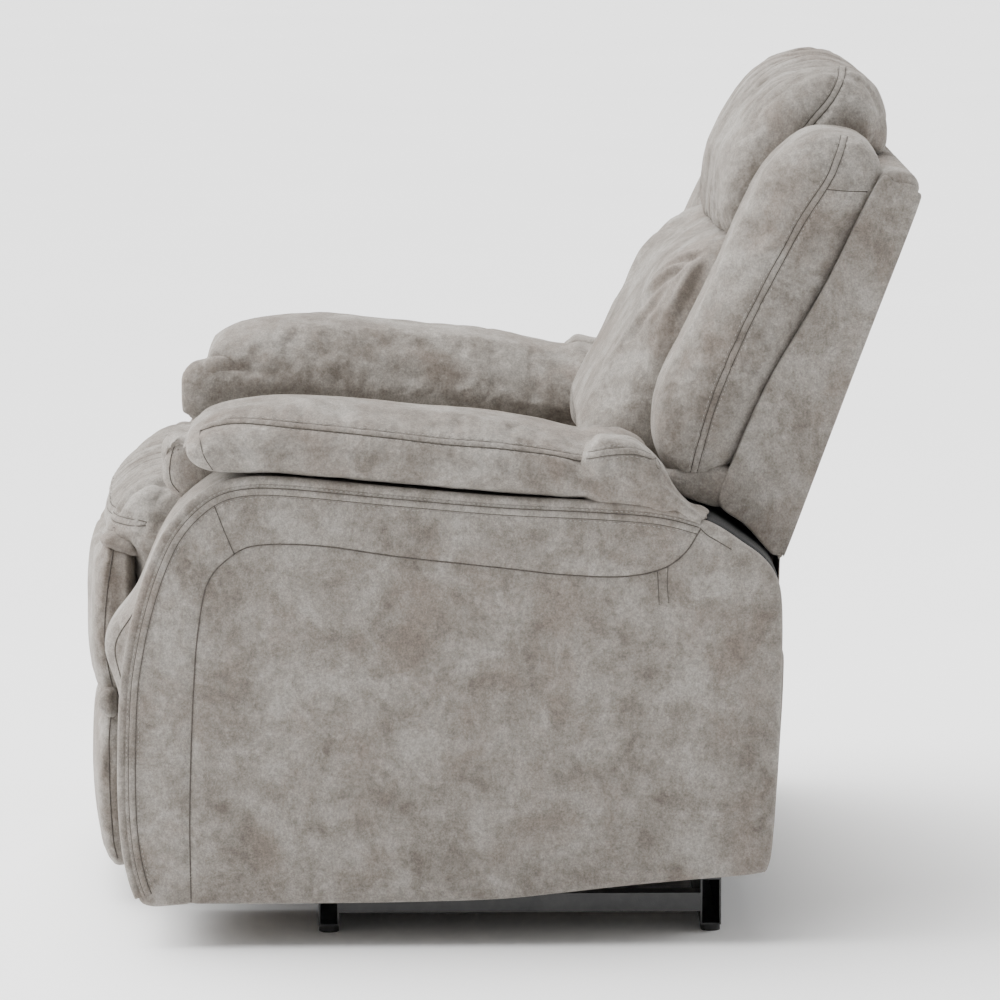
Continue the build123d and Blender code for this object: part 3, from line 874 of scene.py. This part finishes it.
# ---- Seat ------------------------------------------------------------------
SEAT_PROFILE = [(-418, 356), (-422, 410), (-446, 430), (-466, 434), (-465, 450), (-455, 472), (-438, 490),
                (-412, 502), (-370, 509), (-300, 512), (-180, 508), (-60, 503), (60, 499), (116, 496),
                (128, 480), (128, 420), (124, 360), (60, 354), (-120, 353), (-340, 353)]
SEAT_HALF = 0.262
PLEAT = 0.044             # spacing of the seat's front pleats


def seat():
    ob = pillow("seat_cushion_cover", SEAT_PROFILE, [(-380, 430), (-200, 430), (80, 430)],
                -SEAT_HALF, SEAT_HALF, 0.05, 0.05, 0.007)
    co = coords(ob)
    x, y, z = co.T
    sink = -0.016 * (z > 0.45) * (1 - smooth(np.abs(x), SEAT_HALF, 0.20))
    z += sink
    y += 0.020 * (np.abs(x) / SEAT_HALF) ** 2.2 * smooth(y, -0.40, -0.46)
    set_coords(ob, co)
    remeshed(ob, 0.0065)

    def pins(co):
        return np.maximum(smooth(co[:, 2], 0.40, 0.36), smooth(np.abs(co[:, 0]), 0.250, SEAT_HALF))

    inflate(ob, pins, pressure=3.0, frames=16, cap=0.006, slack=0.01)

    def height(co, no):
        x, y, z = co.T
        fwd = smooth(y, -0.24, -0.36) * smooth(z, 0.462, 0.476)
        wander = x + 0.012 * noise(co * 0.6, 0.05, 31)
        off = np.abs((wander / PLEAT + 0.5) % 1 - 0.5) * PLEAT
        h = fwd * (0.0022 - 0.0062 * np.exp(-(off / 0.0042) ** 2) * (0.75 + 0.25 * noise(co, 0.06, 32)))
        h += fwd * 0.0008 * np.sin(2 * math.pi * wander / 0.0155)
        h += smooth(no[:, 2], 0.3, 0.9) * 0.0022 * noise(co, 0.11, 33) + 0.0009 * noise(co, 0.035, 34)
        return h

    displaced(ob, height)
    finish(ob, "carriage", replaces=("seat_cushion",))
    xs = np.arange(-0.260, 0.2601, 0.004)
    line = np.column_stack([xs, np.full(len(xs), -0.50), 0.470 - 0.010 * (xs / 0.246) ** 2])
    double_seam("seat_front_seam", tree_of(ob), line, (0, -1, 0), "carriage")


def seat_gusset():
    """Loose cloth from the seat's front edge to the top of the upper footrest pad."""
    profile = [(-412, 420), (-424, 436), (-440, 446), (-456, 446), (-464, 437), (-455, 428), (-438, 422)]
    ob = pillow("seat_front_gusset", profile, [(-425, 430), (-455, 438)], -0.246, 0.246, 0.02, 0.02, 0.004)
    remeshed(ob, 0.0035)
    displaced(ob, lambda co, no: 0.0035 * noise(co * np.array([1, 1.6, 1.6]), 0.022, 35))
    finish(ob, None, blend=("carriage", "upper_footrest"))


# ---- Footrest --------------------------------------------------------------
UPPER_PAD = [(-430, 432), (-450, 440), (-466, 438), (-478, 420), (-484, 386), (-486, 349), (-486, 299),
             (-483, 268), (-476, 249), (-460, 245), (-440, 247), (-424, 256), (-421, 340), (-421, 415)]
LOWER_PAD = [(-432, 240), (-460, 243), (-475, 236), (-481, 213), (-483, 160), (-481, 105), (-475, 66),
             (-463, 46), (-448, 41), (-430, 50), (-423, 100), (-423, 200)]
PAD_HALF = 0.258


def footrest_pad(part, profile, spine, seam):
    name = part + "_footrest"
    ob = pillow(name + "_cover", profile, spine, -PAD_HALF, PAD_HALF, 0.026, 0.026, 0.006, 0.002)
    co = coords(ob)
    x, y, _ = co.T
    y += 0.022 * (np.abs(x) / PAD_HALF) ** 2.2 * smooth(y, -0.440, -0.482)
    recess = smooth(y, -0.458, -0.448) * smooth(y, -0.430, -0.438)
    x *= 1 - 0.05 * recess * (np.abs(x) > 0.15)
    set_coords(ob, co)
    remeshed(ob, 0.005)

    def pins(co):
        return smooth(co[:, 1], -0.450, -0.440)

    inflate(ob, pins, pressure=3.0, frames=14, cap=0.004, slack=0.01)
    tree = tree_of(ob)
    seams = {sign: with_x(curve(seam, 0.003), sign * PAD_HALF) for sign, _ in SIDES}
    guides = [laid(tree, seams[sign], (sign, 0, 0), 0.05)[0] for sign, _ in SIDES]
    z_lo, z_hi = min(z for _, z in profile) * MM, max(z for _, z in profile) * MM

    def height(co, no):
        x, _, z = co.T
        h = groove(co, guides[0], 0.0024, 0.006) + groove(co, guides[1], 0.0024, 0.006)
        ends = smooth(z, z_hi - 0.035, z_hi) + smooth(z, z_lo + 0.035, z_lo)
        gather = np.sin(2 * math.pi * x / 0.023 + 5 * noise(co, 0.06, 41))
        h += ends * 0.0016 * gather * (0.5 + 0.5 * noise(co, 0.04, 44))
        h += 0.0014 * noise(co, 0.08, 42) + 0.0005 * noise(co, 0.03, 43)
        return h

    displaced(ob, height)
    tree = tree_of(ob)
    for sign, tag in SIDES:
        single_seam(f"{name}_cover_side_seam_{tag}", tree, seams[sign], (sign, 0, 0), name)
    finish(ob, name, replaces=(name + "_pad",))


def footrest_crease():
    """Gathered cloth that joins the two pads across their fold."""
    profile = [(-446, 260), (-458, 264), (-465, 256), (-467, 246), (-465, 236), (-456, 228), (-446, 232)]
    spine = [(-455, 254), (-455, 239)]
    ob = pillow("footrest_crease_cover", profile, spine, -0.252, 0.252, 0.010, 0.010, 0.004)
    displaced(ob, lambda co, no: 0.0014 * np.sin(2 * math.pi * co[:, 0] / 0.013 + 3 * noise(co, 0.04, 45)))
    finish(ob, None, blend=("upper_footrest", "lower_footrest"))


def footrest():
    footrest_crease()
    footrest_pad("upper", UPPER_PAD, [(-456, 415), (-458, 275)],
                 [(-446, 432), (-455, 372), (-458, 324), (-455, 294), (-448, 258)])
    footrest_pad("lower", LOWER_PAD, [(-462, 222), (-462, 72)],
                 [(-450, 240), (-454, 203), (-454, 143), (-451, 83), (-446, 55)])


# ---- Back ------------------------------------------------------------------
WING = [(228, 523), (205, 528), (188, 548), (183, 580), (187, 612), (198, 645), (218, 688), (245, 742),
        (278, 815), (311, 882), (334, 909), (356, 925), (380, 933), (403, 933), (424, 926), (440, 910),
        (450, 884), (450, 858), (424, 808), (389, 745), (357, 688), (329, 640), (301, 579), (284, 548), (258, 530)]
WING_SPINE = [(234, 552), (254, 626), (281, 695), (315, 764), (349, 828), (380, 877), (400, 905)]
WING_SEAM = [(400, 926), (391, 902), (380, 877), (349, 828), (315, 764), (281, 695), (253, 626),
             (236, 568), (228, 536)]
WING_IN = 0.222
WING_OUT = 0.388


def wings():
    ob = pillow("back_wing_cover_left", WING, WING_SPINE, WING_IN, WING_OUT, 0.035, 0.036, 0.006, 0.005)
    remeshed(ob, 0.005)
    seam = curve(WING_SEAM, 0.003)
    guide, _ = laid(tree_of(ob), with_x(seam, WING_OUT), SIDE, 0.12)

    def pins(co):
        d, _ = nearest(co, guide)
        behind = (co[:, 1] - 0.255) * 0.892 - (co[:, 2] - 0.520) * 0.456
        held = np.maximum(bell(d, 0, 0.006), smooth(co[:, 0], WING_IN + 0.02, WING_IN))
        return np.maximum(held, smooth(behind, -0.012, 0.0))

    inflate(ob, pins, pressure=3.5, frames=16, cap=0.006, slack=0.015)
    guide, _ = laid(tree_of(ob), with_x(seam, WING_OUT), SIDE, 0.12)

    def height(co, no):
        h = groove(co, guide, 0.0025, 0.008)
        h += pucker(co, guide, 0.018, 0.010, 0.0008, 51)
        d, s = nearest(co, guide)
        folds = np.sin(2 * math.pi * s / 0.062 + 4 * noise(co, 0.09, 52))
        h += 0.0024 * folds * np.exp(-((d - 0.02) / 0.020) ** 2)
        h += 0.0014 * noise(co, 0.07, 53) + 0.0006 * noise(co, 0.028, 54)
        return h

    displaced(ob, height)
    made = double_seam("back_wing_seam_left", tree_of(ob), with_x(seam, WING_OUT), SIDE, "back")
    short = curve([(379, 868), (400, 866), (426, 864)], 0.003)
    made += single_seam("back_wing_join_left", tree_of(ob), with_x(short, WING_OUT), SIDE, "back", 0.0006)
    tuck = [(184, 540), (222, 545), (256, 549), (276, 541), (282, 522), (272, 502), (254, 500), (236, 505),
            (206, 518), (188, 530)]
    gusset = pillow("wing_gusset_left", tuck, [(205, 534), (262, 524)], 0.29, 0.383, 0.02, 0.010, 0.004)
    crumpled(gusset, 0.0010, 0.03, 56)
    pair(gusset, "back")
    pair(ob, "back", replaces=("back_wing_left",))
    both(made, "back")


PILLOW = [(266, 790), (257, 806), (257, 828), (264, 858), (279, 893), (303, 929), (334, 961), (369, 984),
          (404, 993), (431, 984), (454, 962), (468, 934), (474, 908), (470, 888), (446, 882), (424, 868),
          (404, 830), (370, 800), (310, 787)]
PILLOW_SPINE = [(305, 840), (345, 890), (395, 930), (430, 915)]
PILLOW_SEAM = [(414, 990), (408, 975), (396, 955), (378, 934), (360, 912), (336, 888), (318, 866), (300, 842)]
BACK_HALF = 0.222


def head_pillow():
    ob = pillow("head_pillow_cover", PILLOW, PILLOW_SPINE, -BACK_HALF, BACK_HALF, 0.055, 0.055, 0.006, 0.005)
    co = coords(ob)
    side = (np.abs(co[:, 0]) / BACK_HALF) ** 2
    co[:, 1] += side * (0.014 * smooth(co[:, 1], 0.36, 0.28) - 0.014 * smooth(co[:, 1], 0.42, 0.47))
    set_coords(ob, co)
    remeshed(ob, 0.005)
    seam = curve(PILLOW_SEAM, 0.003)

    def lines(tree):
        return {s: laid(tree, with_x(seam, s * 0.19), (s, 0, 0), 0.1)[0] for s in (1, -1)}

    guides = lines(tree_of(ob))

    def pins(co):
        d = np.minimum(nearest(co, guides[1])[0], nearest(co, guides[-1])[0])
        return np.maximum(bell(d, 0, 0.006), smooth(co[:, 2], 0.80, 0.79))

    inflate(ob, pins, pressure=3.5, frames=16, cap=0.008, slack=0.02)
    guides = lines(tree_of(ob))

    def height(co, no):
        h = np.zeros(len(co))
        for s in (1, -1):
            h += groove(co, guides[s], 0.003, 0.008) + pucker(co, guides[s], 0.02, 0.012, 0.0009, 61)
        over = smooth(co[:, 2], 0.88, 0.96) * smooth(np.abs(co[:, 0]), 0.20, 0.17)
        wander = co[:, 0] + 0.014 * noise(co, 0.06, 62)
        off = np.abs((wander / 0.031 + 0.5) % 1 - 0.5) * 0.031
        h += over * (0.0020 - 0.0065 * np.exp(-(off / 0.0045) ** 2) * (0.7 + 0.3 * noise(co, 0.08, 63)))
        low = smooth(co[:, 2], 0.85, 0.79) * smooth(co[:, 1], 0.34, 0.28)
        h += low * 0.0024 * np.sin(2 * math.pi * co[:, 0] / 0.024 + 3 * noise(co, 0.05, 64))
        h += 0.0040 * noise(co * np.array([1.8, 0.6, 0.6]), 0.06, 65) + 0.0008 * noise(co, 0.028, 66)
        return h

    displaced(ob, height)
    tree = tree_of(ob)
    for s, tag in SIDES:
        double_seam(f"head_pillow_seam_{tag}", tree, with_x(seam, s * 0.19), (s, 0, 0), "back")
    finish(ob, "back", replaces=("head_pillow",))


LUMBAR = [(112, 515), (103, 532), (111, 564), (136, 613), (166, 668), (202, 730), (232, 767), (250, 784),
          (290, 793), (350, 797), (388, 788), (374, 740), (335, 640), (294, 520), (270, 503), (170, 506)]
LUMBAR_SPINE = [(190, 555), (240, 640), (300, 745)]


def lumbar():
    ob = pillow("lumbar_cover", LUMBAR, LUMBAR_SPINE, -BACK_HALF, BACK_HALF, 0.06, 0.06, 0.007)
    remeshed(ob, 0.006)

    def pins(co):
        return smooth(co[:, 1] - 0.37 * (co[:, 2] - 0.5), 0.24, 0.26)

    inflate(ob, pins, pressure=3.0, frames=16, cap=0.008, slack=0.02)
    pinch = np.array([0.205, 0.250, 0.776])
    ends = [(0.200, 0.175, 0.650), (0.175, 0.150, 0.625), (0.140, 0.145, 0.628), (0.095, 0.150, 0.640),
            (0.040, 0.165, 0.668), (0.190, 0.130, 0.585)]

    def height(co, no):
        h = 0.0024 * noise(co, 0.10, 71) + 0.0007 * noise(co, 0.03, 72)
        for sign in (1, -1):
            here = co * np.array([sign, 1, 1])
            for i, end in enumerate(ends):
                bow = (pinch + np.array(end)) / 2 + np.array([0.012, -0.012, 0.010])
                t = np.linspace(0, 1, 60)[:, None]
                line = (1 - t) ** 2 * pinch + 2 * t * (1 - t) * bow + t ** 2 * np.array(end)
                d, s = nearest(here, line)
                fade = smooth(s, 0.21, 0.05) * smooth(s, 0.0, 0.035) * (0.75 + 0.25 * math.sin(2.1 * i))
                wide = 0.0035 + 0.045 * s
                h += fade * (-0.0095 * np.exp(-(d / wide) ** 2) + 0.0050 * np.exp(-((d - 1.9 * wide) / wide) ** 2))
        return h

    displaced(ob, height)
    finish(ob, "back", replaces=("lumbar_cushion",))


SHELL_SIDE = [(437, 874), (458, 875), (478, 872), (485, 862), (484, 846), (434, 712), (386, 582), (339, 454),
              (333, 445), (324, 444), (316, 449), (289, 479), (258, 507), (277, 561), (317, 650), (379, 757)]


def back_shell():
    ob = panel("back_side_cover_left", SHELL_SIDE, (375, 665), 0.384, 0.014, ease=0.0035, step=0.004)
    displaced(ob, lambda co, no: 0.0010 * noise(co, 0.09, 81) * (np.abs(no[:, 0]) > 0.7))
    pair(ob, "back", replaces=("back_side_panel_left",))
    rear = [(474, 868), (482, 858), (482, 846), (434, 712), (386, 582), (339, 452), (330, 452),
            (378, 582), (425, 712), (473, 848)]
    cover = pillow("back_rear_cover", rear, [(335, 456), (382, 582), (430, 712), (479, 862)],
                   -0.3705, 0.3705, 0.006, 0.006, 0.005)
    displaced(cover, lambda co, no: 0.0012 * noise(co, 0.12, 82) * (no[:, 1] > 0.5))
    finish(cover, "back", replaces=("back_rear_panel",))
    tree = tree_of(cover)
    for s, tag in SIDES:
        edge = [(s * 0.305, y, z) for y, z in curve([(345, 462), (478, 838)], 0.004)]
        double_seam(f"back_rear_seam_{tag}", tree, np.array(edge), (0, 1, 0), "back")
    top = [(438, 872), (446, 884), (462, 887), (478, 882), (485, 870), (482, 858), (468, 852), (446, 858)]
    roll = pillow("back_top_cover", top, [(450, 870), (474, 868)], -0.382, 0.382, 0.012, 0.012, 0.005)
    displaced(roll, lambda co, no: 0.0013 * np.sin(2 * math.pi * co[:, 0] / 0.028 + 3 * noise(co, 0.06, 83)))
    finish(roll, "back")


def rear_skirt():
    low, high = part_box("rear_skirt_board")
    outline = [(321.5, 95), (328, 138), (333.5, 232), (336, 290), (336, 325), (330, 325), (330, 290),
               (327.5, 232), (322.5, 138), (316.5, 95)]
    spine = [(319, 103), (325, 138), (330.5, 232), (333, 317)]
    ob = pillow("rear_skirt_cover", outline, spine, low.x, high.x, 0.006, 0.006, 0.006)
    displaced(ob, lambda co, no: 0.0012 * noise(co, 0.10, 84) * (no[:, 1] > 0.5))
    tree = tree_of(ob)
    xs = np.arange(-0.355, 0.3551, 0.004)
    hem = np.column_stack([xs, np.full(len(xs), 0.36), np.full(len(xs), 0.112)])
    double_seam("rear_skirt_hem", tree, hem, (0, 1, 0), "carriage")
    finish(ob, "carriage", replaces=("rear_skirt_board",))


FLAP_Z = (0.322, 0.470)
FLAP_Y = 0.3345
FLAP_HALF = 0.352


def rear_flap():
    """A loose cloth that closes the gap between the rear skirt and the back."""
    xs = np.linspace(-FLAP_HALF, FLAP_HALF, 177)
    zs = np.linspace(*FLAP_Z, 40)
    grid = np.array([(x, FLAP_Y, z) for z in zs for x in xs])
    loose = np.sin(math.pi * (grid[:, 2] - FLAP_Z[0]) / (FLAP_Z[1] - FLAP_Z[0]))
    grid[:, 1] += 0.0022 * loose * noise(grid * np.array([1, 1, 0.3]), 0.030, 85) - 0.004 * loose
    n = len(xs)
    faces = [(r * n + c, (r + 1) * n + c, (r + 1) * n + c + 1, r * n + c + 1)
             for r in range(len(zs) - 1) for c in range(n - 1)]
    ob = new_object("rear_flap", grid, faces)
    baked(ob, "SOLIDIFY", thickness=0.0012, offset=0)
    finish(ob, None, blend=("carriage", "back"))


def linings():
    """Cloth behind the back cushions, and black cloth over the front of the seat frame."""
    slab = [(276, 478), (343, 661), (408, 840), (399, 846), (331, 663), (264, 482)]
    ob = pillow("back_inner_cover", slab, [(271, 484), (337, 662), (402, 838)], -0.262, 0.262, 0.004,
                0.004, 0.006)
    crumpled(ob, 0.0008, 0.05, 91)
    finish(ob, "back")
    bridge = [(123, 468), (127, 482), (158, 500), (200, 513), (214, 513), (214, 505), (162, 491), (134, 470)]
    ob = pillow("seat_rear_bridge", bridge, [(130, 474), (162, 495), (207, 509)], -0.256, 0.256, 0.004,
                0.004, 0.005)
    crumpled(ob, 0.0012, 0.03, 93)
    finish(ob, None, blend=("carriage", "back"))
    apron = [(-397, 286), (-397, 346), (-400, 350), (-404, 344), (-405, 316), (-404, 288), (-400, 283)]
    ob = pillow("seat_front_lining", apron, [(-400, 292), (-400, 340)], -0.267, 0.267, 0.004, 0.004, 0.005)
    crumpled(ob, 0.0008, 0.03, 92)
    finish(ob, "carriage", FINISH["dust_cloth"])
    cap = [(-403, 345.5), (-330, 345.5), (-328, 348), (-330, 350.5), (-400, 350.5), (-405, 348)]
    ob = pillow("seat_corner_cap_left", cap, [(-398, 348), (-335, 348)], 0.212, 0.267, 0.003, 0.003, 0.004)
    pair(ob, "carriage", FINISH["dust_cloth"])
    corner = [(-396, 251), (-396, 286), (-401, 290), (-403, 270), (-401, 248)]
    ob = pillow("seat_corner_lining_left", corner, [(-399, 256), (-399, 282)], 0.2295, 0.267, 0.003,
                0.003, 0.004)
    pair(ob, "carriage", FINISH["dust_cloth"])


# ---- Stage -----------------------------------------------------------------
def camera():
    data = bpy.data.cameras.new("camera")
    cam = bpy.data.objects.new("camera", data)
    bpy.context.scene.collection.objects.link(cam)
    cam.location = (6.4, -0.106, 1.495)
    pitch, yaw = math.radians(9.3), math.radians(1.07)
    look = Vector((-math.cos(pitch) * math.cos(yaw), math.cos(pitch) * math.sin(yaw), -math.sin(pitch)))
    right = look.cross(Vector((0, 0, 1))).normalized()
    up = right.cross(look)
    cam.rotation_euler = Matrix((right, up, -look)).transposed().to_euler()
    data.sensor_width = 36.0
    data.lens = 190.8
    data.clip_end = 100
    bpy.context.scene.camera = cam


def area(name, at, aim, size, power):
    data = bpy.data.lights.new(name, "AREA")
    data.shape = "RECTANGLE"
    data.size, data.size_y = size
    data.energy = power
    ob = bpy.data.objects.new(name, data)
    bpy.context.scene.collection.objects.link(ob)
    ob.location = at
    ob.rotation_euler = (Vector(aim) - Vector(at)).to_track_quat("-Z", "Y").to_euler()


def studio():
    floor = new_object("studio_floor", [(-60, -40, 0), (20, -40, 0), (20, 40, 0), (-60, 40, 0)],
                       [(0, 1, 2, 3)], False)
    n = Nodes("pale_floor")
    n.link(n.ramp(n.noise(1.5, 2.0), [(0.3, grey(0.95)), (0.7, grey(0.97))]), n.shader.inputs["Base Color"])
    n.shader.inputs["Roughness"].default_value = 0.8
    n.shader.inputs["Specular IOR Level"].default_value = 0.1
    floor.data.materials.append(n.mat)
    world = bpy.data.worlds.new("studio_world")
    bpy.context.scene.world = world
    world.use_nodes = True
    back = world.node_tree.nodes["Background"]
    back.inputs["Color"].default_value = (1, 1, 1, 1)
    back.inputs["Strength"].default_value = 0.40
    data = bpy.data.lights.new("top_light", "SUN")
    data.energy = 8.2
    data.angle = math.radians(75)
    sun = bpy.data.objects.new("top_light", data)
    bpy.context.scene.collection.objects.link(sun)
    sun.rotation_euler = Vector((-0.30, -0.46, 1)).to_track_quat("Z", "Y").to_euler()
    area("front_light", (0.6, -3.2, 1.9), (0, 0, 0.6), (2.0, 1.6), 85)
    area("rear_light", (-0.6, 3.2, 2.0), (0, 0, 0.6), (2.0, 1.6), 50)


def main():
    camera()
    dress_nodes()
    arms()
    seat()
    seat_gusset()
    footrest()
    wings()
    head_pillow()
    lumbar()
    back_shell()
    rear_skirt()
    rear_flap()
    linings()
    studio()


main()
